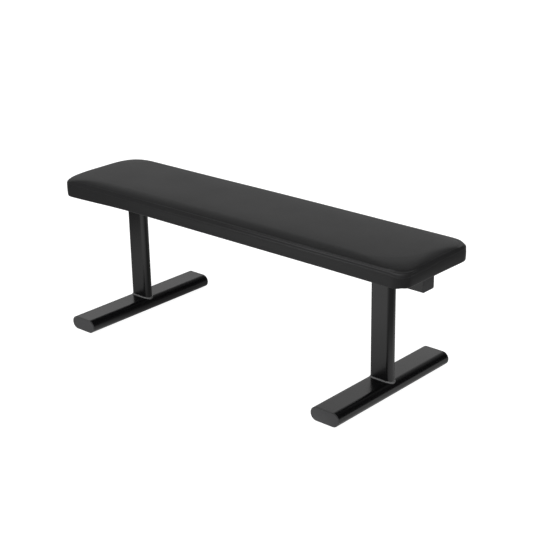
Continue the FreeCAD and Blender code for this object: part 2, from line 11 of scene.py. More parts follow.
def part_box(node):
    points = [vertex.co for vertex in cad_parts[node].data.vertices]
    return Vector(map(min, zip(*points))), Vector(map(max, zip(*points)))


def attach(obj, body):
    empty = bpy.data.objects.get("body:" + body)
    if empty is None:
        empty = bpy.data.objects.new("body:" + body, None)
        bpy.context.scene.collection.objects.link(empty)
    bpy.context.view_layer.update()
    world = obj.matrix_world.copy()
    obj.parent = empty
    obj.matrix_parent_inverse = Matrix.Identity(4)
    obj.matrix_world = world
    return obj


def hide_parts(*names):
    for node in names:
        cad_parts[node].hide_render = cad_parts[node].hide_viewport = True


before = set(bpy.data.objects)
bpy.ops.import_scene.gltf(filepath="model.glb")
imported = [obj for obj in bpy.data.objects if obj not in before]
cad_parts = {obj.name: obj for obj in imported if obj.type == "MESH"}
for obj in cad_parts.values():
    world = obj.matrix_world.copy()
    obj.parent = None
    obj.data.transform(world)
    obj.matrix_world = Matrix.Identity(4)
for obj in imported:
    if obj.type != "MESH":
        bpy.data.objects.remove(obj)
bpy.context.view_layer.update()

# Looks for the flat weight bench. Everything is in metres in the CAD frame: +X along the cushion,
# +Z up, and the near side, which the camera faces, is -Y.

MM = 0.001

# -------- camera
CAMERA_AZIMUTH = 42.10
CAMERA_ELEVATION = 20.91
CAMERA_ROLL = -1.105
CAMERA_AIM = Vector((-0.0209, 0.0874, 0.2226))
CAMERA_DISTANCE = 3.863
CAMERA_LENS = 88.04
CAMERA_SENSOR = 36
CAMERA_REACH = 100

# -------- cushion
PAD_LOW, PAD_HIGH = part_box("pad_cover")
PAD_HALF = Vector((PAD_HIGH.x, PAD_HIGH.y))
PAD_BASE = PAD_LOW.z
PAD_TOP = PAD_HIGH.z
PAD_CORNER = 38 * MM
TOP_RUN = 38 * MM
TOP_DROP = 22 * MM
SIDE_TOP = PAD_TOP - TOP_DROP
CORNER_GAIN = 2.9
CORNER_SPARE = 1 * MM
BOTTOM_ROUND = 3.4 * MM
HEM_INSET = 30 * MM
RECESS = 1.3 * MM
SLIM = 0.3 * MM
TOP_SLACK = 0.8 * MM
TOP_ARCH = 3.3 * MM
LEFT_LIFT = 1.7 * MM
LIFT_SHARE = (0.35, 0.95)
SIDE_PULL = 0.6 * MM
END_BULGE = 1.8 * MM
END_FULL = 2.3 * MM
END_TUCK = 1.8 * MM
TUCK_HEIGHT = 17 * MM
END_BULGE_HEIGHT = 407 * MM
END_BULGE_REACH = 22 * MM
SEAM_HEIGHT = 7.4 * MM
SEAM_ZONE = (-11 * MM, 9.5 * MM)
ZONE_STEP = 1.6 * MM
SIDE_ROWS = 7
TOP_ROWS = 8
SEAM_DIP = 4.6 * MM
DIP_X = (0.598, 0.636)
DIP_Y = (-0.06, 0.02)

# Length and number of segments along one quarter of the outline: the middle of the long side, its
# end, the corner and half the short side.
QUARTER = ((480 * MM, 40), (129.5 * MM, 14), (59.7 * MM, 10), (115 * MM, 12))
TOP_GRID_CORNER = 65
BOTTOM_GRID_CORNER = 62
LEAST_CORNER = 8 * MM
EDGE_STEPS = 400

# Share of the half-length or half-width from which a point belongs to an end or a side.
SIDE_SHARE = (0.70, 1.0)

# Stand for a distance up the section where a point lies off it, above or below.
FAR_UP = 0.06
FAR_DOWN = -1.0

# -------- cloth
PUFF_FRAMES = 20
PUFF_PRESSURE = 0.12
PUFF_CAP = 6.0 * MM
BOARD_GRIP = 403 * MM
GRIP_BLEND = 6 * MM
CLOTH_QUALITY = 6
CLOTH_MASS = 0.35
STRETCH_STIFFNESS = 120
SHEAR_STIFFNESS = 60
BEND_STIFFNESS = 6


# ======== helpers
def new_object(name, mesh):
    obj = bpy.data.objects.new(name, mesh)
    bpy.context.scene.collection.objects.link(obj)
    return obj


def shade_smooth(mesh):
    mesh.polygons.foreach_set("use_smooth", [True] * len(mesh.polygons))


def mesh_from(name, points, faces):
    mesh = bpy.data.meshes.new(name)
    mesh.from_pydata([tuple(p) for p in points], [], faces)
    mesh.validate()
    mesh.update()
    shade_smooth(mesh)
    return mesh


def point_vectors(mesh, kind):
    """The co or the normal of each of a mesh's points."""
    flat = np.zeros(len(mesh.vertices) * 3, np.float32)
    mesh.vertices.foreach_get(kind, flat)
    return flat.reshape(-1, 3).astype(float)


def join(points, faces, more_points, more_faces):
    """Add a part's points and faces to those of a larger mesh."""
    first = len(points)
    points += more_points
    faces += [tuple(first + k for k in face) for face in more_faces]


def set_coordinates(mesh, points):
    mesh.vertices.foreach_set("co", np.asarray(points, np.float32).ravel())
    mesh.update()


def subdivide(obj):
    finer = obj.modifiers.new("finer", "SUBSURF")
    finer.levels = 1
    finer.render_levels = 1


@contextmanager
def opened(mesh):
    """A mesh as a bmesh, which is written back at the end."""
    work = bmesh.new()
    work.from_mesh(mesh)
    yield work
    work.to_mesh(mesh)
    work.free()


def bake_modifiers(obj):
    """Replace an object's mesh by what its modifiers make of it."""
    graph = bpy.context.evaluated_depsgraph_get()
    made = bpy.data.meshes.new_from_object(obj.evaluated_get(graph), depsgraph=graph)
    obj.modifiers.clear()
    obj.data = made


def smoothstep(low, high, value):
    t = np.clip((value - low) / (high - low), 0, 1)
    return t * t * (3 - 2 * t)


def ring_cells(levels, count, closed=False):
    """Faces that join rings of count points, each to the next, and the last to the first if closed."""
    for level in range(levels if closed else levels - 1):
        low, high = level * count, (level + 1) % levels * count
        for k in range(count):
            after = (k + 1) % count
            yield low + k, low + after, high + after, high + k


def grid_cells(number):
    """Faces of a grid, from its table of point numbers."""
    for row in range(number.shape[0] - 1):
        for column in range(number.shape[1] - 1):
            cell = (number[row, column], number[row, column + 1],
                    number[row + 1, column + 1], number[row + 1, column])
            yield tuple(int(c) for c in cell)


def turn_over(faces):
    """The same faces looking the other way, each from the same first point."""
    return [(face[0], *face[:0:-1]) for face in faces]


# ======== shader helpers
class Nodes:
    """Short calls for building the node tree of a material or a world."""

    def __init__(self, owner):
        owner.use_nodes = True
        self.owner = owner
        self.tree = owner.node_tree
        self.tree.nodes.clear()

    def add(self, kind, sockets=(), **settings):
        """A new node with these settings, and with values or links at its input sockets."""
        node = self.tree.nodes.new(kind)
        for key, value in settings.items():
            setattr(node, key, value)
        for key, value in dict(sockets).items():
            self.put(node.inputs[key], value)
        return node

    def put(self, socket, value):
        if isinstance(value, bpy.types.NodeSocket):
            self.tree.links.new(value, socket)
        else:
            socket.default_value = value

    def math(self, operation, first, second):
        return self.add("ShaderNodeMath", {0: first, 1: second}, operation=operation).outputs[0]

    def total(self, first, first_share, second, second_share):
        """The sum of two values, each times its share."""
        return self.math("ADD", self.math("MULTIPLY", first, first_share),
                         self.math("MULTIPLY", second, second_share))

    def bell(self, squared):
        """e to the power of minus a square: 1 in the middle, and falling to 0."""
        return self.math("POWER", math.e, self.math("MULTIPLY", squared, -1.0))

    def step(self, value, low, high):
        """Smoothly from 0 at low to 1 at high."""
        sockets = {"Value": value, "From Min": low, "From Max": high}
        node = self.add("ShaderNodeMapRange", sockets, interpolation_type="SMOOTHSTEP")
        return node.outputs["Result"]

    def window(self, value, starts, full, fades, ends):
        """Smoothly from 0 up to 1 and back down to 0."""
        return self.math("SUBTRACT", self.step(value, starts, full), self.step(value, fades, ends))

    def span(self, value, low, high):
        """Stretch 0 to 1 into low to high."""
        sockets = {"Value": value, "To Min": low, "To Max": high}
        return self.add("ShaderNodeMapRange", sockets).outputs["Result"]

    def split(self, vector):
        return tuple(self.add("ShaderNodeSeparateXYZ", {0: vector}).outputs)

    def noise(self, where, scale, detail=2.0, rough=0.5):
        sockets = {"Vector": where, "Scale": scale, "Detail": detail, "Roughness": rough}
        return self.add("ShaderNodeTexNoise", sockets).outputs["Fac"]

    def cells(self, where, scale):
        return self.add("ShaderNodeTexVoronoi", {"Vector": where, "Scale": scale}).outputs["Distance"]

    def blend(self, share, first, second):
        node = self.add("ShaderNodeMix", {"Factor": share}, data_type="RGBA")
        for socket, colour in ((node.inputs[6], first), (node.inputs[7], second)):
            self.put(socket, (*colour, 1) if isinstance(colour, tuple) else colour)
        return node.outputs[2]

    def bump(self, height, depth, strength):
        sockets = {"Height": height, "Distance": depth, "Strength": strength}
        return self.add("ShaderNodeBump", sockets).outputs["Normal"]

    def glow(self, strength):
        return self.add("ShaderNodeEmission", {"Strength": strength}).outputs[0]

    def show(self, surface, output="ShaderNodeOutputMaterial"):
        """End the tree with this surface, and return the material or world that owns it."""
        self.add(output, {"Surface": surface})
        return self.owner

    def principled(self, **sockets):
        named = {key.replace("_", " "): value for key, value in sockets.items()}
        return self.show(self.add("ShaderNodeBsdfPrincipled", named).outputs[0])


def new_material(name):
    """The nodes of a new material, and the place of each point in the object."""
    nodes = Nodes(bpy.data.materials.new(name))
    return nodes, nodes.add("ShaderNodeTexCoord").outputs["Object"]


# ======== materials
# Painted highlight: the seam's ridges get a lighter colour, growing towards the right and fading on the
# right-hand end.
HIGHLIGHT_GROWS_X = (0.0, 0.40)
HIGHLIGHT_FADES_X = (0.624, 0.650)
HIGHLIGHT_PATCHES = (0.7, 1.2)
PAINTED_HIGHLIGHT_VINYL = (0.045, 0.045, 0.046)

# Height, width and strength of the painted highlight line along each of the seam's two ridges.
PAINTED_HIGHLIGHT_LINES = ((0.4306, 0.0023, 0.85), (0.4228, 0.0028, 0.40))


def seam_painted_highlight(n, where, patches):
    """From 0 to 1: how strong the painted highlight along the seam's ridges is, most towards the right.
    """
    x, _, z = n.split(where)
    along = n.window(x, *HIGHLIGHT_GROWS_X, *HIGHLIGHT_FADES_X)
    highlighted = n.math("MULTIPLY", along, n.span(patches, *HIGHLIGHT_PATCHES))
    raised = n.math("ADD", z, n.math("MULTIPLY", n.step(x, *DIP_X), SEAM_DIP))
    total = 0.0
    for height, width, share in PAINTED_HIGHLIGHT_LINES:
        away = n.math("DIVIDE", n.math("SUBTRACT", raised, height), width)
        total = n.math("ADD", n.math("MULTIPLY", n.bell(n.math("MULTIPLY", away, away)), share), total)
    return n.math("MULTIPLY", total, highlighted)


def vinyl_material():
    """Black upholstery vinyl: a fine pebbled grain, slightly polished patches, and a painted highlight
    along the seam's ridges.
    """
    n, where = new_material("black_vinyl")
    softened = {"Vector": where, "Scale": 820, "Smoothness": 0.6}
    pebbles = n.add("ShaderNodeTexVoronoi", softened, feature="SMOOTH_F1").outputs["Distance"]
    creases = n.noise(where, 260, 3.0, 0.6)
    patches = n.noise(where, 9, 3.0, 0.55)
    height = n.total(pebbles, 0.7, creases, 0.6)
    tone = n.total(patches, 0.6, pebbles, 0.5)
    grain = n.blend(tone, (0.0115, 0.0115, 0.0118), (0.0165, 0.0165, 0.0168))
    # The base colour turns lighter along the seam's ridges: a painted highlight.
    return n.principled(
        Base_Color=n.blend(seam_painted_highlight(n, where, patches), grain, PAINTED_HIGHLIGHT_VINYL),
        Roughness=n.span(patches, 0.40, 0.48),
        Specular_IOR_Level=0.235,
        Normal=n.bump(height, 0.00022, 0.5),
    )


def thread_material():
    """Black polyester thread: twisted strands with a soft sheen."""
    n, where = new_material("black_thread")
    twist = n.noise(where, 1800, 2.0)
    return n.principled(
        Base_Color=n.blend(twist, (0.012, 0.012, 0.013), (0.03, 0.03, 0.032)),
        Roughness=n.span(twist, 0.5, 0.7),
        Normal=n.bump(twist, 0.0002, 0.6),
    )


def powder_material():
    """Semi-gloss black powder coat with fine orange peel."""
    n, where = new_material("black_powder_coat")
    peel = n.noise(where, 420, 2.0, 0.45)
    drift = n.noise(where, 6, 2.0)
    specks = n.cells(where, 1500)
    return n.principled(
        Base_Color=n.blend(n.step(specks, 0.0, 0.5), (0.0042, 0.0042, 0.0045), (0.003, 0.003, 0.0032)),
        Roughness=n.span(drift, 0.20, 0.27),
        Specular_IOR_Level=0.5,
        Normal=n.bump(peel, 0.00012, 0.22),
    )


def weld_highlight_material():
    """Powder coat over a weld bead: rippled and thinner than on the tubes, and greyer, which is a
    painted highlight along the bead.
    """
    n, where = new_material("coated_weld_painted_highlight")
    scale = n.noise(where, 260, 3.0, 0.6)
    # The light grey base colour is a painted highlight along the bead.
    return n.principled(
        Base_Color=n.blend(scale, (0.085, 0.085, 0.086), (0.130, 0.130, 0.131)),
        Roughness=n.span(scale, 0.24, 0.38),
        Specular_IOR_Level=0.8,
        Normal=n.bump(scale, 0.00025, 0.45),
    )


def cap_material():
    """Injection-moulded black polyethylene with a fine spark-eroded texture."""
    n, where = new_material("moulded_cap_plastic")
    texture = n.noise(where, 1400, 3.0, 0.6)
    flow = n.noise(where, 30, 2.0)
    return n.principled(
        Base_Color=n.blend(flow, (0.026, 0.026, 0.027), (0.034, 0.034, 0.035)),
        Roughness=n.span(texture, 0.42, 0.56),
        Specular_IOR_Level=0.5,
        Normal=n.bump(texture, 0.00015, 0.35),
    )


def rubber_material():
    """Matt black rubber, faintly dusty, with a pitted skin."""
    n, where = new_material("foot_rubber")
    pits = n.cells(where, 1100)
    dust = n.noise(where, 60, 3.0)
    return n.principled(
        Base_Color=n.blend(dust, (0.016, 0.016, 0.016), (0.034, 0.033, 0.032)),
        Roughness=n.span(dust, 0.75, 0.92),
        Specular_IOR_Level=0.3,
        Normal=n.bump(pits, 0.0002, 0.5),
    )


def metal_material(name, dark, light, roughness, grain):
    """Plated or blackened steel: tone drifts between dark and light, with a fine worked grain."""
    n, where = new_material(name)
    drift = n.noise(where, 160, 3.0)
    fine = n.noise(where, grain, 2.0, 0.6)
    return n.principled(
        Base_Color=n.blend(drift, dark, light),
        Metallic=1.0,
        Roughness=n.span(fine, roughness - 0.07, roughness + 0.1),
        Normal=n.bump(fine, 0.00008, 0.4),
    )


def plywood_material():
    """Birch plywood: pale, with long wavy grain along the board."""
    n, where = new_material("birch_plywood")
    stretched = n.add("ShaderNodeMapping", {"Vector": where, "Scale": (0.08, 1, 1)}).outputs[0]
    grain = n.noise(stretched, 220, 4.0, 0.65)
    figure = n.noise(stretched, 18, 2.0)
    tone = n.total(grain, 0.6, figure, 0.5)
    return n.principled(
        Base_Color=n.blend(tone, (0.36, 0.23, 0.12), (0.66, 0.5, 0.31)),
        Roughness=n.span(grain, 0.6, 0.8),
        Normal=n.bump(grain, 0.0003, 0.4),
    )


def foam_material():
    """Open-cell cushion foam, cream coloured."""
    n, where = new_material("cushion_foam")
    pores = n.cells(where, 700)
    return n.principled(
        Base_Color=n.blend(n.step(pores, 0.1, 0.7), (0.38, 0.34, 0.22), (0.72, 0.67, 0.5)),
        Roughness=n.span(pores, 0.85, 1.0),
        Specular_IOR_Level=0.15,
        Normal=n.bump(pores, 0.0006, 0.7),
    )


def dust_cloth_material():
    """Black spun-bonded cloth: a grid of small fused dimples over random fibres."""
    n, where = new_material("spunbond_cloth")
    fibres = n.noise(where, 900, 4.0, 0.7)
    dimple = n.cells(where, 480)
    clouds = n.noise(where, 35, 3.0)
    tone = n.total(clouds, 0.5, fibres, 0.5)
    height = n.math("ADD", n.math("MULTIPLY", fibres, 0.5), n.step(dimple, 0.1, 0.45))
    return n.principled(
        Base_Color=n.blend(tone, (0.011, 0.011, 0.012), (0.03, 0.03, 0.032)),
        Roughness=n.span(fibres, 0.78, 0.95),
        Specular_IOR_Level=0.25,
        Normal=n.bump(height, 0.00025, 0.6),
    )


VINYL = vinyl_material()
THREAD = thread_material()
POWDER = powder_material()
WELD_PAINTED_HIGHLIGHT = weld_highlight_material()
DUST_CLOTH = dust_cloth_material()
GALVANISED = metal_material("galvanised_wire", (0.42, 0.43, 0.44), (0.6, 0.61, 0.62), 0.4, 900)
ZINC = metal_material("zinc_plate", (0.5, 0.49, 0.45), (0.66, 0.66, 0.64), 0.34, 1200)
BLACK_OXIDE = metal_material("black_oxide_steel", (0.02, 0.02, 0.022), (0.05, 0.05, 0.053), 0.38, 1100)
SLOT_MATERIALS = {
    "vinyl": VINYL,
    "vinyl_seam": THREAD,
    "powder_coat": POWDER,
    "cap_plastic": cap_material(),
    "rubber": rubber_material(),
    "dust_cloth": DUST_CLOTH,
    "galvanised_steel": GALVANISED,
    "zinc_steel": ZINC,
    "black_steel": BLACK_OXIDE,
    "plywood": plywood_material(),
    "foam": foam_material(),
}


def dress_frame():
    """Give every CAD node that stays the procedural material of its own slot."""
    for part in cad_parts.values():
        for place, material in enumerate(part.data.materials):
            part.material_slots[place].material = SLOT_MATERIALS[material.name]


# ======== cushion outline and section
def quarter_fractions():
    """Where the outline's points lie along one quarter of it, from 0 to 1."""
    marks = [0.0]
    for length, count in QUARTER:
        step = length / count
        first = marks[-1] + step
        marks += [first + step * k for k in range(count)]
    marks = np.array(marks)
    return marks / marks[-1]


def outline(inset, corner):
    """The rounded rectangle that lies inset inside the cushion's sides, counter-clockwise from the
    middle of the near long side."""
    half_x = PAD_HALF.x - inset
    half_y = PAD_HALF.y - inset
    runs = (half_x - corner, corner * math.pi / 2, half_y - corner)
    quarter = []
    for fraction in quarter_fractions():
        along = fraction * sum(runs)
        if along <= runs[0]:
            quarter.append((along, -half_y))
        elif along <= runs[0] + runs[1]:
            turn = (along - runs[0]) / corner
            quarter.append((runs[0] + corner * math.sin(turn), -runs[2] - corner * math.cos(turn)))
        else:
            quarter.append((half_x, along - runs[0] - runs[1] - runs[2]))
    right = [*quarter, *[(x, -y) for x, y in quarter[-2::-1]]]
    left = [(-x, y) for x, y in right[-2:0:-1]]
    return np.array([*right, *left])


def corner_radius(inset):
    """Corners grow rounder up the top edge, until the ends are nearly half circles."""
    run = max(inset, 0.0)
    return min(PAD_CORNER + CORNER_GAIN * run, PAD_HALF.y - run - CORNER_SPARE)


def top_edge(angle):
    """(inset, height) on the quarter ellipse that joins the side to the top."""
    return TOP_RUN * (1 - math.cos(angle)), SIDE_TOP + TOP_DROP * math.sin(angle)


def top_edge_table():
    """Angles round the top edge with the length of surface up to each, from the side's top."""
    angles = np.linspace(0, math.pi / 2, EDGE_STEPS)
    points = np.array([top_edge(a) for a in angles])
    steps = np.linalg.norm(np.diff(points, axis=0), axis=1)
    return angles, np.concatenate([[0], np.cumsum(steps)])


EDGE_ANGLES, EDGE_LENGTHS = top_edge_table()
SEAM_ANGLE = math.asin(SEAM_HEIGHT / TOP_DROP)
SEAM_LENGTH = float(np.interp(SEAM_ANGLE, EDGE_ANGLES, EDGE_LENGTHS))


def section_at(along):
    """(inset, height) at a distance up the section from the side's top: negative is on the side."""
    if along <= 0:
        return 0.0, SIDE_TOP + along
    return top_edge(float(np.interp(along, EDGE_LENGTHS, EDGE_ANGLES)))


def section_stations():
    """Distances up the section, fine where the seam runs and coarser elsewhere."""
    zone_low = SEAM_LENGTH + SEAM_ZONE[0]
    zone_high = SEAM_LENGTH + SEAM_ZONE[1]
    side_low = PAD_BASE + BOTTOM_ROUND - SIDE_TOP
    side = np.linspace(side_low, zone_low, SIDE_ROWS, endpoint=False)
    zone = np.arange(zone_low, zone_high, ZONE_STEP)
    over = np.linspace(zone[-1] + ZONE_STEP, EDGE_LENGTHS[-1], TOP_ROWS)
    return [*side, *zone, *over]


def under_stations():
    """(inset, height) from the hem's inner edge out to the foot of the side."""
    rows = [
        (HEM_INSET, PAD_BASE + RECESS),
        (HEM_INSET - 0.4 * MM, PAD_BASE + 0.4 * MM),
        (HEM_INSET - 1.5 * MM, PAD_BASE),
        (20 * MM, PAD_BASE),
        (11 * MM, PAD_BASE),
    ]
    for turn in (math.radians(degrees) for degrees in (0, 25, 50, 72)):
        inset = BOTTOM_ROUND * (1 - math.sin(turn))
        rows.append((inset, PAD_BASE + BOTTOM_ROUND * (1 - math.cos(turn))))
    return rows


def soften(points):
    """Draw the sides in a little between the corners, and round the end faces in height."""
    x, y, z = points.T
    end_share = smoothstep(*SIDE_SHARE, np.abs(x) / PAD_HALF.x)
    middle_y = 1 - (y / PAD_HALF.y) ** 2
    middle_x = 1 - (x / PAD_HALF.x) ** 2
    lift = np.clip(np.abs(z - END_BULGE_HEIGHT) / END_BULGE_REACH, 0, 1)
    round_in = END_BULGE * (1 - np.cos(math.pi * lift)) / 2 - END_FULL
    tuck = END_TUCK * np.clip(1 - (z - PAD_BASE) / TUCK_HEIGHT, 0, 1) ** 2 * middle_y
    side_share = smoothstep(*SIDE_SHARE, np.abs(y) / PAD_HALF.y)
    above_board = smoothstep(PAD_BASE + 2 * MM, BOARD_GRIP, z)
    end_in = end_share * (round_in * (0.5 + 0.5 * middle_y) + SIDE_PULL * middle_y * above_board + tuck)
    side_in = side_share * SIDE_PULL * middle_x * above_board
    moved = points.copy()
    moved[:, 0] -= np.sign(x) * end_in
    moved[:, 1] -= np.sign(y) * side_in
    return moved


def coons_grid(ring, corner, height):
    """Inner points of a grid that fills a ring whose quarters have their grid corner at index corner.

    Returns the points and a table of point numbers: ring points are 0 to len(ring) - 1 and new points
    follow them."""
    total = len(ring)
    quarter = total // 4
    wide = 2 * corner
    deep = 2 * (quarter - corner)
    near = [(-corner + k) % total for k in range(wide + 1)]
    right = [corner + k for k in range(deep + 1)]
    far = [(2 * quarter + corner - k) % total for k in range(wide + 1)]
    left = [(-corner - k) % total for k in range(deep + 1)]
    table = np.full((deep + 1, wide + 1), -1)
    table[0], table[-1] = near, far
    table[:, 0], table[:, -1] = left, right
    points = []
    for row in range(1, deep):
        v = row / deep
        for column in range(1, wide):
            u = column / wide
            across = (1 - v) * ring[near[column]] + v * ring[far[column]]
            along = (1 - u) * ring[left[row]] + u * ring[right[row]]
            ends = ((1 - v) * ((1 - u) * ring[near[0]] + u * ring[near[-1]])
                    + v * ((1 - u) * ring[far[0]] + u * ring[far[-1]]))
            flat = across + along - ends
            table[row, column] = total + len(points)
            points.append((flat[0], flat[1], height))
    return points, table


def fill_ring(points, ring, level, corner, height):
    """Add the points of a grid that fills the ring at one level, and return the grid's faces."""
    inner, table = coons_grid(ring, corner, height)
    count = len(ring)
    number = np.where(table < count, table + level * count, table - count + len(points))
    points += inner
    return list(grid_cells(number))


def cushion_start():
    """The closed cushion, with each point's distance up the section from the seam."""
    rings, heights, ups = [], [], []
    for inset, height in under_stations():
        rings.append(outline(inset, max(PAD_CORNER - inset, LEAST_CORNER)))
        heights.append(height)
        ups.append(FAR_DOWN)
    for along in section_stations():
        inset, height = section_at(along)
        rings.append(outline(inset, corner_radius(inset)))
        heights.append(height)
        ups.append(along - SEAM_LENGTH)
    count = len(rings[0])
    points = [(x, y, z) for ring, z in zip(rings, heights) for x, y in ring]
    up = [u for u in ups for _ in range(count)]
    faces = list(ring_cells(len(rings), count))
    top = len(rings) - 1
    faces += fill_ring(points, rings[top], top, TOP_GRID_CORNER, heights[top])
    up += [FAR_UP] * (len(points) - len(up))
    under = fill_ring(points, rings[0], 0, BOTTOM_GRID_CORNER, heights[0])
    faces += [cell[::-1] for cell in under]
    up += [FAR_DOWN] * (len(points) - len(up))
    return np.array(points), faces, np.array(up)


def puff(obj, grip):
    """Inflate a cushion with cloth pressure. Points where grip is 1 stay put."""
    start = point_vectors(obj.data, "co")
    group = obj.vertex_groups.new(name="stapled")
    for share in np.unique(np.round(grip, 2)):
        if share > 0:
            chosen = [int(k) for k in np.nonzero(np.round(grip, 2) == share)[0]]
            group.add(chosen, float(share), "REPLACE")
    cloth = obj.modifiers.new("puff", "CLOTH")
    settings = cloth.settings
    settings.quality = CLOTH_QUALITY
    settings.mass = CLOTH_MASS
    settings.tension_stiffness = STRETCH_STIFFNESS
    settings.compression_stiffness = STRETCH_STIFFNESS
    settings.shear_stiffness = SHEAR_STIFFNESS
    settings.bending_stiffness = BEND_STIFFNESS
    settings.use_pressure = True
    settings.uniform_pressure_force = PUFF_PRESSURE
    settings.vertex_group_mass = group.name
    settings.effector_weights.gravity = 0
    cloth.collision_settings.use_collision = False
    cloth.point_cache.frame_start = 1
    cloth.point_cache.frame_end = PUFF_FRAMES
    scene = bpy.context.scene
    for number in range(1, PUFF_FRAMES + 1):
        scene.frame_set(number)
    bake_modifiers(obj)
    obj.vertex_groups.clear()
    moved = point_vectors(obj.data, "co") - start
    reach = np.linalg.norm(moved, axis=1, keepdims=True)
    kept = moved * (np.tanh(reach / PUFF_CAP) * PUFF_CAP / np.maximum(reach, 1e-9))
    set_coordinates(obj.data, start + kept)
    scene.frame_set(1)


# ======== cushion detail
RIDGE_OFFSET = 3.7 * MM
RIDGE_WIDTH = 2.0 * MM
RIDGE_HEIGHT = 0.75 * MM
STITCH_OFFSET = 7.4 * MM
DIMPLE_WIDTH = 1.5 * MM
UPPER_DIMPLE = 0.55 * MM
LOWER_DIMPLE = 0.2 * MM
GROOVE_WIDTH = 0.9 * MM
GROOVE_DEPTH = 0.3 * MM
LEAST_RELIEF = 0.2
FULL_X = (-0.45, 0.45)
FLAT_X = (0.600, 0.640)
FLAT_NEAR_Y = (-0.120, -0.070)
FLAT_FAR_Y = (0.080, 0.125)
FULLNESS_RIPPLE = 0.06
OVERHANG_REACH = 12
OVERHANG_FADE = (4.0 * MM, 8.5 * MM)


def seam_fullness(x, y):
    """How far the seam stands out, from 0 to 1: slack at the left, full at the right, and pulled flat
    across the middle of the right-hand end."""
    along = smoothstep(*FULL_X, x)
    on_end = smoothstep(*FLAT_X, x)
    middle = smoothstep(*FLAT_NEAR_Y, y) * (1 - smoothstep(*FLAT_FAR_Y, y))
    ripple = FULLNESS_RIPPLE * np.sin(23.0 * x - 31.0 * y + 1.1)
    return np.clip(along * (1 - on_end * middle) + ripple, 0, 1)


def seam_relief(up, fullness):
    """Height of the surface round the double seam: two puffed ridges, a joint between and a stitched
    dimple outside each."""
    def bell(centre, width):
        return np.exp(-(((up - centre) / width) ** 2))

    ridges = bell(RIDGE_OFFSET, RIDGE_WIDTH) + bell(-RIDGE_OFFSET, RIDGE_WIDTH)
    joint = bell(0, GROOVE_WIDTH)
    upper, lower = bell(STITCH_OFFSET, DIMPLE_WIDTH), bell(-STITCH_OFFSET, DIMPLE_WIDTH)
    gain = LEAST_RELIEF + (1 - LEAST_RELIEF) * fullness
    raised = RIDGE_HEIGHT * ridges - GROOVE_DEPTH * joint - UPPER_DIMPLE * upper
    return gain * raised - LOWER_DIMPLE * lower


def seam_dip(x, y):
    """How far the seam runs low round the near right-hand corner."""
    return SEAM_DIP * smoothstep(*DIP_X, x) * (1 - smoothstep(*DIP_Y, y))


def seam_overhang(up, dip, fullness):
    """How far the cover is pushed outwards where the full seam keeps the side upright."""
    steps = np.arange(-OVERHANG_REACH, OVERHANG_REACH + 1) * MM
    section = np.array([section_at(SEAM_LENGTH + step)[0] for step in steps])
    inset = np.interp(up, steps, section)
    below = 1 - smoothstep(*OVERHANG_FADE, up + dip)
    return fullness * inset * below * (up > -OVERHANG_REACH * MM)


CORNER_DROOP = {(-1, -1): 8.0 * MM, (-1, 1): 4.6 * MM, (1, -1): 1.0 * MM, (1, 1): 2.2 * MM}
DROOP_REACH = 320 * MM
DROOP_HEIGHTS = (PAD_BASE + 4 * MM, PAD_BASE + 18 * MM)
DROOP_EDGE = (3 * MM, 13 * MM)
HEM_SAG = 0.8 * MM
PLEAT_DEPTH = 0.9 * MM
PLEAT_RATE = 13.0
PLEAT_SHARPNESS = 0.6
PLEAT_STARTS = (0.0, 0.2)
PLEAT_ENDS = (1.37, 1.57)
PLEAT_INNER = (6 * MM, 12 * MM)
PLEAT_OUTER = (PAD_CORNER - 7 * MM, PAD_CORNER - 1 * MM)
FACES_DOWN = -0.6


def hem_droop(points):
    """The rolled lower edge hangs a little where the cover is bunched round the corners."""
    x, y, z = points.T
    edge = np.minimum(PAD_HALF.x - np.abs(x), PAD_HALF.y - np.abs(y))
    low = 1 - smoothstep(*DROOP_HEIGHTS, z)
    outer = 1 - smoothstep(*DROOP_EDGE, edge)
    total = np.full(len(points), HEM_SAG)
    for (side_x, side_y), droop in CORNER_DROOP.items():
        from_end = (PAD_HALF.x - side_x * x) / DROOP_REACH
        from_side = (PAD_HALF.y - side_y * y) / (PAD_HALF.y * 2)
        near = (1 - smoothstep(0.0, 1.0, from_end)) * (1 - smoothstep(0.0, 1.0, from_side))
        total += droop * near
    return -total * low * outer


def hem_pleats(points, surface):
    """Folded pleats on the underside where the vinyl is gathered round each corner."""
    x, y, z = points.T
    out_x = np.abs(x) - (PAD_HALF.x - PAD_CORNER)
    out_y = np.abs(y) - (PAD_HALF.y - PAD_CORNER)
    angle = np.arctan2(out_y, out_x)
    reach = np.hypot(out_x, out_y)
    turning = smoothstep(*PLEAT_STARTS, angle) * (1 - smoothstep(*PLEAT_ENDS, angle))
    in_corner = turning * (out_x > 0) * (out_y > 0)
    on_hem = smoothstep(*PLEAT_INNER, reach) * (1 - smoothstep(*PLEAT_OUTER, reach))
    underneath = (surface[:, 2] < FACES_DOWN) & (z < PAD_BASE + 1 * MM)
    folds = np.maximum(0, np.sin(angle * PLEAT_RATE)) ** PLEAT_SHARPNESS
    return -PLEAT_DEPTH * folds * in_corner * on_hem * underneath


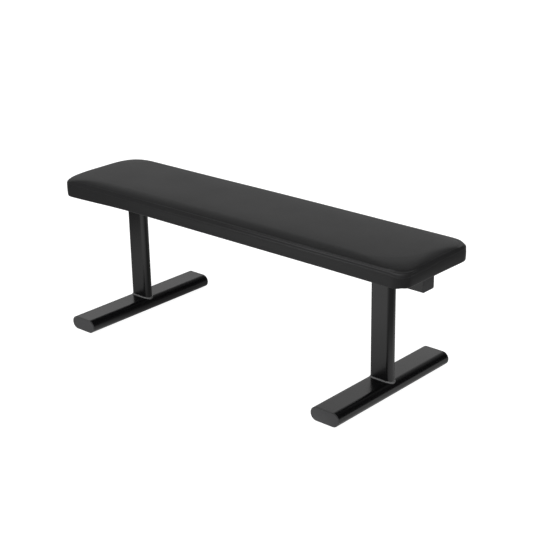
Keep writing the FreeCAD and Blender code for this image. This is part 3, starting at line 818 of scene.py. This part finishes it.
def make_cushion():
    """The padded cover: puffed up a little under size, then given its seam, droop and pleats."""
    points, faces, up = cushion_start()
    slim = points.copy()
    slim[:, :2] *= 1 - SLIM / np.array([PAD_HALF.x, PAD_HALF.y])
    above = smoothstep(SIDE_TOP, PAD_TOP, points[:, 2])
    along = points[:, 0] / PAD_HALF.x
    arch = TOP_ARCH * (1 - along**2) + LEFT_LIFT * smoothstep(*LIFT_SHARE, -along)
    slim[:, 2] += (arch - TOP_SLACK) * above
    mesh = mesh_from("cushion_cover", soften(slim), faces)
    layer = mesh.attributes.new("up", "FLOAT", "POINT")
    layer.data.foreach_set("value", up.astype(np.float32))
    obj = new_object("cushion_cover", mesh)
    grip = 1 - smoothstep(PAD_BASE + GRIP_BLEND, BOARD_GRIP + GRIP_BLEND, points[:, 2])
    puff(obj, grip)
    subdivide(obj)
    bake_modifiers(obj)
    mesh = obj.data
    where, out = point_vectors(mesh, "co"), point_vectors(mesh, "normal")
    up = np.zeros(len(mesh.vertices), np.float32)
    mesh.attributes["up"].data.foreach_get("value", up)
    up = up.astype(float)
    fullness = seam_fullness(where[:, 0], where[:, 1])
    dip = seam_dip(where[:, 0], where[:, 1])
    level = out[:, :2] / np.maximum(np.linalg.norm(out[:, :2], axis=1, keepdims=True), 1e-6)
    where[:, :2] += level * seam_overhang(up, dip, fullness)[:, None]
    set_coordinates(mesh, where)
    where += point_vectors(mesh, "normal") * seam_relief(up + dip, fullness)[:, None]
    where[:, 2] += hem_pleats(where, out) + hem_droop(where)
    set_coordinates(mesh, where)
    mesh.attributes.remove(mesh.attributes["up"])
    shade_smooth(mesh)
    mesh.materials.clear()
    mesh.materials.append(VINYL)
    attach(obj, "root")
    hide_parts("pad_cover", "pad_foam")
    return obj


# ======== stitches
STITCH_PITCH = 4.6 * MM
STITCH_LENGTH = 3.5 * MM
THREAD_RADIUS = 0.42 * MM
THREAD_SIDES = 6

# Sections of a stitch: how far along it in its length, how far out and how thick in its radius.
STITCH_STOPS = (
    (-0.5, -0.9, 0.45),
    (-0.36, -0.1, 0.9),
    (0.0, 0.35, 1.0),
    (0.36, -0.1, 0.9),
    (0.5, -0.9, 0.45),
)


def stitch_template():
    """One stitch along +X that dips at both ends: points (along, across, out) and its faces."""
    points = []
    for along, out, fat in STITCH_STOPS:
        for k in range(THREAD_SIDES):
            turn = 2 * math.pi * k / THREAD_SIDES
            points.append((along * STITCH_LENGTH, fat * THREAD_RADIUS * math.cos(turn),
                           out * THREAD_RADIUS + fat * THREAD_RADIUS * math.sin(turn)))
    faces = turn_over(ring_cells(len(STITCH_STOPS), THREAD_SIDES))
    faces.append(tuple(range(THREAD_SIDES)))
    faces.append(tuple(range(len(points) - 1, len(points) - 1 - THREAD_SIDES, -1)))
    return np.array(points), faces


def even_walk(ring, pitch):
    """Evenly spaced points round a closed outline, with the direction of travel at each."""
    closed = np.vstack([ring, ring[:1]])
    steps = np.linalg.norm(np.diff(closed, axis=0), axis=1)
    lengths = np.concatenate([[0], np.cumsum(steps)])
    count = int(round(lengths[-1] / pitch))
    stops = (np.arange(count) + 0.5) * lengths[-1] / count
    walk = np.column_stack([np.interp(stops, lengths, closed[:, k]) for k in (0, 1)])
    ahead = np.roll(walk, -1, axis=0) - np.roll(walk, 1, axis=0)
    return walk, ahead / np.linalg.norm(ahead, axis=1, keepdims=True)


def make_stitches(cushion):
    """The two rows of topstitching either side of the cushion's seam."""
    surface = BVHTree.FromObject(cushion, bpy.context.evaluated_depsgraph_get())
    template, template_faces = stitch_template()
    points, faces = [], []
    for offset in (STITCH_OFFSET, -STITCH_OFFSET):
        inset, height = section_at(SEAM_LENGTH + offset)
        walk, ahead = even_walk(outline(inset, corner_radius(inset)), STITCH_PITCH)
        for (x, y), (ahead_x, ahead_y) in zip(walk, ahead):
            spot, out, _, _ = surface.find_nearest(Vector((x, y, height - seam_dip(x, y))))
            along = Vector((ahead_x, ahead_y, 0))
            along = (along - out * along.dot(out)).normalized()
            axes = np.array([along, out.cross(along), out])
            join(points, faces, list(np.array(spot) + template @ axes), template_faces)
    obj = new_object("seam_stitching", mesh_from("seam_stitching", points, faces))
    obj.data.materials.append(THREAD)
    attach(obj, "root")
    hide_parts("cover_seam")


# ======== dust cover
SHEET_LOW, SHEET_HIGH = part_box("dust_cover")
SHEET_INSET = PAD_HALF.x - SHEET_HIGH.x
SHEET_THICK = 0.5 * MM
LIP_HEIGHT = SHEET_LOW.z + 0.25 * MM
MIDDLE_HEIGHT = SHEET_LOW.z + 1.62 * MM
SHEET_CORNER = 6 * MM
LONG_STAPLES = 24
SHORT_STAPLES = 5
LONG_ROW = 1180 * MM
SHORT_ROW = 190 * MM
HOLE_RADIUS = 6 * MM
BOLT_HEAD = 13 * MM
PLATE_NAMES = ("pad_plate_left", "pad_plate_middle", "pad_plate_right")

# Between two staples the cloth's edge draws in and hangs down by this much, in mm.
SLACK_IN = 0.9
SLACK_DOWN = 0.35


def bolt_places():
    """The six bolt axes, from the cross plates' middles and the outer sides of the bolt heads."""
    half_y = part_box("pad_bolts")[1].y - BOLT_HEAD / 2
    for name in PLATE_NAMES:
        low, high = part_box(name)
        for side in (-1, 1):
            yield (low.x + high.x) / 2, side * half_y


def staple_pull(points):
    """From 0 midway between staples to 1 beside one, for points near the sheet's edge."""
    x, y = points[:, 0], points[:, 1]
    on_long = (SHEET_HIGH.y - np.abs(y)) < (SHEET_HIGH.x - np.abs(x))
    long_pitch = LONG_ROW / (LONG_STAPLES - 1)
    short_pitch = SHORT_ROW / (SHORT_STAPLES - 1)
    long_phase = np.cos(2 * math.pi * (x - LONG_ROW / 2) / long_pitch)
    short_phase = np.cos(2 * math.pi * (y - SHORT_ROW / 2) / short_pitch)
    return 0.5 + 0.5 * np.where(on_long, long_phase, short_phase)


def punch(sheet, x, y):
    """Open a round hole in a sheet of quads by removing the nearest point and easing its neighbours."""
    nearest = min(sheet.verts, key=lambda v: (v.co.x - x) ** 2 + (v.co.y - y) ** 2)
    rim = {v for face in nearest.link_faces for v in face.verts} - {nearest}
    for vertex in rim:
        away = Vector((vertex.co.x - nearest.co.x, vertex.co.y - nearest.co.y)).normalized()
        vertex.co.x = x + away.x * HOLE_RADIUS
        vertex.co.y = y + away.y * HOLE_RADIUS
    bmesh.ops.delete(sheet, geom=[nearest], context="VERTS")


def make_dust_cover():
    """Thin cloth over the cushion's underside: it laps the hem, and is pulled where it is stapled."""
    insets = [SHEET_INSET, SHEET_INSET + 5 * MM, SHEET_INSET + 10 * MM, HEM_INSET - 3 * MM,
              HEM_INSET + 1 * MM, HEM_INSET + 4 * MM, HEM_INSET + 12 * MM]
    rings = [outline(inset, max(PAD_CORNER - inset, SHEET_CORNER)) for inset in insets]
    points = [(x, y, 0.0) for ring in rings for x, y in ring]
    faces = turn_over(ring_cells(len(rings), len(rings[0])))
    faces += turn_over(fill_ring(points, rings[-1], len(rings) - 1, BOTTOM_GRID_CORNER, 0.0))
    points = np.array(points)
    edge = np.minimum(PAD_HALF.x - np.abs(points[:, 0]), PAD_HALF.y - np.abs(points[:, 1]))
    pull = staple_pull(points)
    at_edge = 1 - smoothstep(SHEET_INSET, SHEET_INSET + 9 * MM, edge)
    inwards = at_edge * (1 - pull) * SLACK_IN * MM
    points[:, 0] *= 1 - inwards / PAD_HALF.x
    points[:, 1] *= 1 - inwards / PAD_HALF.y
    drop = smoothstep(HEM_INSET - 2 * MM, HEM_INSET + 5 * MM, edge)
    points[:, 2] = LIP_HEIGHT + (MIDDLE_HEIGHT - LIP_HEIGHT) * drop
    points[:, 2] -= at_edge * (1 - pull) * SLACK_DOWN * MM
    mesh = mesh_from("dust_cloth", points, faces)
    with opened(mesh) as work:
        for x, y in bolt_places():
            punch(work, x, y)
    obj = new_object("dust_cloth", mesh)
    subdivide(obj)
    thick = obj.modifiers.new("cloth_thickness", "SOLIDIFY")
    thick.thickness = SHEET_THICK
    thick.offset = -1
    bake_modifiers(obj)
    shade_smooth(obj.data)
    obj.data.materials.append(DUST_CLOTH)
    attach(obj, "root")
    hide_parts("dust_cover")


# ======== weld beads
RIPPLE_PITCH = 2.1 * MM
RIPPLE_DEPTH = 0.07
RIPPLE_BOW = 0.3
BEAD_SWELL = 0.22
BEAD_ROOT = 1.2 * MM
BEAD_STEPS = 7
STEPS_PER_RIPPLE = 5
LEG_DRIFT = 0.05
LEG_WAVE = 410
TAPER_START = 0.35
TAPER_RATE = 6
POST_WELD_LEG = 3.1 * MM
PLATE_WELD_LEG = 4.0 * MM
PLATE_WELD_LENGTH = 44 * MM
POSTS = ("post_left", "post_right")
POST_CORNER = 14.5 * MM
SPINE_LOW, SPINE_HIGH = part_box("spine_tube")
FOOT_LOW, FOOT_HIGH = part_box("foot_tube_left")
FOOT_RADIUS = (FOOT_HIGH.z - FOOT_LOW.z) / 2
FOOT_FLAT = (FOOT_HIGH.x - FOOT_LOW.x) / 2 - FOOT_RADIUS
FOOT_MIDDLE = (FOOT_HIGH.z + FOOT_LOW.z) / 2


def foot_top(offset):
    """Height of the floor tube's upper surface at a distance from its middle line."""
    over = max(abs(offset) - FOOT_FLAT, 0.0)
    return FOOT_MIDDLE + math.sqrt(max(FOOT_RADIUS**2 - over**2, 0.0))


def bead_radius(turn, along, leg):
    """Radius of a rippled, slightly convex fillet at an angle in its section."""
    chord = leg / (math.cos(turn) + math.sin(turn))
    swell = 1 + BEAD_SWELL * math.sin(2 * turn)
    phase = along / RIPPLE_PITCH + RIPPLE_BOW * math.sin(turn * 2)
    ripple = 1 + RIPPLE_DEPTH * abs(math.sin(math.pi * phase)) * math.sin(2 * turn)
    return chord * swell * ripple


def bead_section(root, out, up, along, leg):
    """One section of a bead: from the wall round to the toe, and back through the root."""
    rim = []
    for k in range(BEAD_STEPS + 1):
        turn = math.pi / 2 * k / BEAD_STEPS
        radius = bead_radius(turn, along, leg)
        rim.append(root + up * (radius * math.cos(turn)) + out * (radius * math.sin(turn)))
    rim.append(root + out * leg - up * BEAD_ROOT)
    rim.append(root - out * BEAD_ROOT - up * BEAD_ROOT)
    rim.append(root - out * BEAD_ROOT + up * leg)
    return rim


def sweep_bead(sections, closed):
    """Points and faces of a bead through its sections."""
    size = len(sections[0])
    points = [p for section in sections for p in section]
    faces = list(ring_cells(len(sections), size, closed))
    if not closed:
        faces.append(tuple(range(size))[::-1])
        faces.append(tuple(range(len(points) - size, len(points))))
    return points, faces


def post_outline(post):
    """Dense points round a post's section with outward directions and distances."""
    low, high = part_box(post)
    centre = Vector(((low.x + high.x) / 2, (low.y + high.y) / 2))
    flat = Vector(((high.x - low.x) / 2 - POST_CORNER, (high.y - low.y) / 2 - POST_CORNER))
    step = RIPPLE_PITCH / STEPS_PER_RIPPLE
    walk, along = [], 0.0
    for side, (sx, sy) in enumerate(((1, -1), (1, 1), (-1, 1), (-1, -1))):
        pivot = centre + Vector((sx * flat.x, sy * flat.y))
        count = int(POST_CORNER * math.pi / 2 / step)
        for k in range(count):
            turn = math.radians(-90 + 90 * side) + math.pi / 2 * k / count
            out = Vector((math.cos(turn), math.sin(turn)))
            walk.append((pivot + out * POST_CORNER, out, along))
            along += POST_CORNER * math.pi / 2 / count
        run = 2 * (flat.y if side % 2 == 0 else flat.x)
        count = int(run / step)
        out = Vector((math.cos(math.pi / 2 * side), math.sin(math.pi / 2 * side)))
        ahead = Vector((-out.y, out.x))
        for k in range(count):
            walk.append((pivot + out * POST_CORNER + ahead * (run * k / count), out, along))
            along += run / count
    return centre, walk


def post_bead(post, at_foot):
    """The bead round one post, on the foot below it or on the spine above it."""
    centre, walk = post_outline(post)
    sections = []
    for place, out, along in walk:
        side = Vector((out.x, out.y, 0))
        up = Vector((0, 0, 1 if at_foot else -1))
        root = Vector((place.x, place.y, 0))
        leg = POST_WELD_LEG * (1 + LEG_DRIFT * math.sin(along * LEG_WAVE))
        section = bead_section(root, side, up, along, leg)
        for point in section:
            point.z += foot_top(point.x - centre.x) if at_foot else SPINE_LOW.z
        sections.append(section if at_foot else section[::-1])
    return sweep_bead(sections, closed=True)


def plate_beads():
    """Straight beads under each cross plate, one each side of the spine."""
    for name in PLATE_NAMES:
        low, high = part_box(name)
        middle = (low.x + high.x) / 2
        for side in (-1, 1):
            count = int(PLATE_WELD_LENGTH / RIPPLE_PITCH * STEPS_PER_RIPPLE)
            sections = []
            for k in range(count + 1):
                share = k / count
                taper = min(1.0, TAPER_START + TAPER_RATE * min(share, 1 - share))
                along = share * PLATE_WELD_LENGTH
                root = Vector((middle - PLATE_WELD_LENGTH / 2 + along, side * SPINE_HIGH.y, low.z))
                section = bead_section(root, Vector((0, side, 0)), Vector((0, 0, -1)), along,
                                       PLATE_WELD_LEG * taper)
                sections.append(section if side > 0 else section[::-1])
            yield sweep_bead(sections, closed=False)


def make_welds(name, parts, node):
    """One object of all the beads that stand for one node."""
    points, faces = [], []
    for part_points, part_faces in parts:
        join(points, faces, part_points, part_faces)
    obj = new_object(name, mesh_from(name, points, faces))
    with opened(obj.data) as work:
        bmesh.ops.recalc_face_normals(work, faces=work.faces)
    obj.data.materials.append(WELD_PAINTED_HIGHLIGHT)
    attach(obj, "root")
    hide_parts(node)


# ======== stage, lights and camera
SURROUND_RADIUS = 30.0
FLOOR_RADIUS = 0.98 * SURROUND_RADIUS
BOUNCE_RADIUS = 0.9 * SURROUND_RADIUS
BOUNCE_HEIGHT = -2 * MM
DISC_SIDES = 96
FLOOR_GLOW = 0.95
SURROUND_GLOW = 1.05


def flat_disc(name, radius, height):
    mesh = bpy.data.meshes.new(name)
    with opened(mesh) as work:
        bmesh.ops.create_circle(work, cap_ends=True, segments=DISC_SIDES, radius=radius)
    obj = new_object(name, mesh)
    obj.location.z = height
    return obj


def only_camera(obj):
    """Shown to the camera, but neither lights nor is mirrored in the object."""
    obj.visible_glossy = False
    obj.visible_diffuse = False
    obj.visible_transmission = False
    obj.visible_shadow = False


def white_floor_material():
    """Pale studio floor that glows a little, so that the shadow under the bench stays faint. It is
    clear from below."""
    n, where = new_material("pale_floor")
    pale = n.blend(n.noise(where, 3.0), (0.30, 0.30, 0.30), (0.31, 0.31, 0.31))
    diffuse = n.add("ShaderNodeBsdfDiffuse", {"Color": pale}).outputs[0]
    both = n.add("ShaderNodeAddShader", {0: diffuse, 1: n.glow(FLOOR_GLOW)}).outputs[0]
    clear = n.add("ShaderNodeBsdfTransparent").outputs[0]
    from_below = n.add("ShaderNodeNewGeometry").outputs["Backfacing"]
    return n.show(n.add("ShaderNodeMixShader", {"Fac": from_below, 1: both, 2: clear}).outputs[0])


# Each pool of light on the floor that the object mirrors: its centre, how far it spreads along X
# and Y, and its strength, which is negative where it shades.
FLOOR_BASE = 0.25
FLOOR_POOLS = (
    ((-0.30, -0.90), (0.62, 0.50), 0.95),
    ((0.15, -0.38), (0.20, 0.20), 0.28),
    ((0.71, -0.05), (0.14, 0.25), 0.66),
    ((-0.05, 0.02), (0.42, 0.16), -0.25),
    ((0.70, -0.45), (0.18, 0.20), -0.30),
    ((-1.38, -0.95), (0.34, 0.45), -0.50),
    ((0.45, -0.42), (0.10, 0.12), -0.30),
    ((0.45, -0.285), (0.05, 0.04), 0.50),
    ((0.82, 0.42), (0.17, 0.20), 0.50),
    ((0.35, -0.20), (0.08, 0.09), 0.24),
    ((-0.25, 1.15), (0.70, 0.30), 0.75),
    ((1.12, 0.50), (0.20, 0.16), -0.20),
)


def pool_of_light(n, across, deep, centre, spread, strength):
    """A soft elliptical patch of light, or of shade where the strength is negative."""
    total = 0.0
    for position, middle, width in zip((across, deep), centre, spread):
        scaled = n.math("DIVIDE", n.math("SUBTRACT", position, middle), width * math.sqrt(2))
        total = n.math("ADD", n.math("MULTIPLY", scaled, scaled), total)
    return n.math("MULTIPLY", n.bell(total), strength)


def bounce_material():
    """What the object mirrors of the floor: soft patches of light all round it, with shade under it
    and between them."""
    n, where = new_material("floor_bounce")
    x, y, _ = n.split(where)
    total = FLOOR_BASE
    for centre, spread, strength in FLOOR_POOLS:
        total = n.math("ADD", pool_of_light(n, x, y, centre, spread, strength), total)
    return n.show(n.glow(total))


def surround_material():
    n = Nodes(bpy.data.materials.new("white_surround"))
    return n.show(n.glow(SURROUND_GLOW))


def make_stage():
    """The pale floor and surround that the camera sees, and the floor that only the object mirrors."""
    floor = flat_disc("floor", FLOOR_RADIUS, 0.0)
    floor.data.materials.append(white_floor_material())
    only_camera(floor)
    bounce = flat_disc("floor_bounce", BOUNCE_RADIUS, BOUNCE_HEIGHT)
    bounce.data.materials.append(bounce_material())
    bounce.visible_camera = False
    bounce.visible_shadow = False
    mesh = bpy.data.meshes.new("surround")
    with opened(mesh) as work:
        bmesh.ops.create_icosphere(work, subdivisions=4, radius=SURROUND_RADIUS)
        bmesh.ops.reverse_faces(work, faces=work.faces)
    surround = new_object("surround", mesh)
    surround.data.materials.append(surround_material())
    only_camera(surround)


# Each wall of light: the turn round from the left (-X) towards the back (+Y), in degrees, where it
# starts, is full, begins to fade and ends; the rise (sine of elevation) where it does the same; and
# its strength. TO_FLOOR is for a wall that reaches down past the horizon.
TO_FLOOR = (-2.0, -1.9)
WALLS = (
    ((-10, 25, 60, 100), (*TO_FLOOR, 0.40, 0.66), 0.52),
    ((-10, 25, 60, 100), (0.26, 0.41, 0.42, 0.66), 0.50),
    ((-10, 20, 38, 54), (0.33, 0.39, 0.44, 0.58), 0.32),
    ((40, 70, 85, 118), (*TO_FLOOR, 0.62, 0.86), 0.30),
    ((-130, -100, -55, -32), (*TO_FLOOR, 0.22, 0.62), 0.42),
    ((-60, -40, -10, 25), (*TO_FLOOR, 0.22, 0.62), 0.22),
    ((-120, -80, -52, -40), (*TO_FLOOR, 0.12, 0.30), 0.35),
    ((-176, -160, -98, -76), (*TO_FLOOR, 0.45, 0.75), 0.55),
    ((142, 154, 181, 182), (*TO_FLOOR, 0.45, 0.75), 0.45),
    ((-60, -35, 28, 46), (0.44, 0.62, 0.72, 0.92), 0.46),
)
ROOM_BASE = 0.012


def wall_of_light(n, turn, rise, turns, rises, strength):
    sideways = n.window(turn, *(math.radians(t) for t in turns))
    return n.math("MULTIPLY", n.math("MULTIPLY", sideways, n.window(rise, *rises)), strength)


def make_world():
    """A dim studio with soft walls of light: high ones at the left and behind, and lower ones in front
    and at the right."""
    n = Nodes(bpy.data.worlds.new("studio"))
    x, y, rise = n.split(n.add("ShaderNodeTexCoord").outputs["Generated"])
    turn = n.math("ARCTAN2", y, n.math("MULTIPLY", x, -1.0))
    total = ROOM_BASE
    for turns, rises, strength in WALLS:
        total = n.math("ADD", wall_of_light(n, turn, rise, turns, rises, strength), total)
    background = n.add("ShaderNodeBackground", {"Strength": total}).outputs[0]
    bpy.context.scene.world = n.show(background, "ShaderNodeOutputWorld")


SOFT_LIGHTS = (
    ("overhead", Vector((0.1, 0.1, 1.0)), 1.3),
    ("front", Vector((0.35, -0.75, 0.55)), 2.2),
)
LIGHT_SPREAD = math.radians(90)
LIGHT_DISTANCE = 3


def make_lights():
    """Two very wide soft lights, which the gloss doesn't mirror."""
    for name, source, energy in SOFT_LIGHTS:
        data = bpy.data.lights.new(name, "SUN")
        data.energy = energy
        data.angle = LIGHT_SPREAD
        lamp = new_object(name, data)
        lamp.rotation_euler = source.to_track_quat("Z", "Y").to_euler()
        lamp.location = source * LIGHT_DISTANCE
        lamp.visible_glossy = False


def make_camera():
    angles = (CAMERA_AZIMUTH, CAMERA_ELEVATION, CAMERA_ROLL)
    azimuth, elevation, roll = (math.radians(angle) for angle in angles)
    back = Vector((math.sin(azimuth) * math.cos(elevation), -math.cos(azimuth) * math.cos(elevation),
                   math.sin(elevation)))
    level = (-back).cross(Vector((0, 0, 1))).normalized()
    upright = level.cross(-back)
    right = math.cos(roll) * level + math.sin(roll) * upright
    up = math.cos(roll) * upright - math.sin(roll) * level
    data = bpy.data.cameras.new("camera")
    data.lens = CAMERA_LENS
    data.sensor_width = CAMERA_SENSOR
    data.clip_end = CAMERA_REACH
    camera = new_object("camera", data)
    turned = Matrix((right, up, back)).transposed().to_4x4()
    turned.translation = CAMERA_AIM + back * CAMERA_DISTANCE
    camera.matrix_world = turned
    bpy.context.scene.camera = camera


bpy.context.scene.view_settings.view_transform = "Standard"
make_camera()
make_world()
make_lights()
make_stage()
dress_frame()
cushion = make_cushion()
make_stitches(cushion)
make_dust_cover()
make_welds("post_foot_welds", [post_bead(post, True) for post in POSTS], "post_base_welds")
make_welds("post_spine_welds", [post_bead(post, False) for post in POSTS], "post_top_welds")
make_welds("plate_spine_welds", list(plate_beads()), "plate_welds")
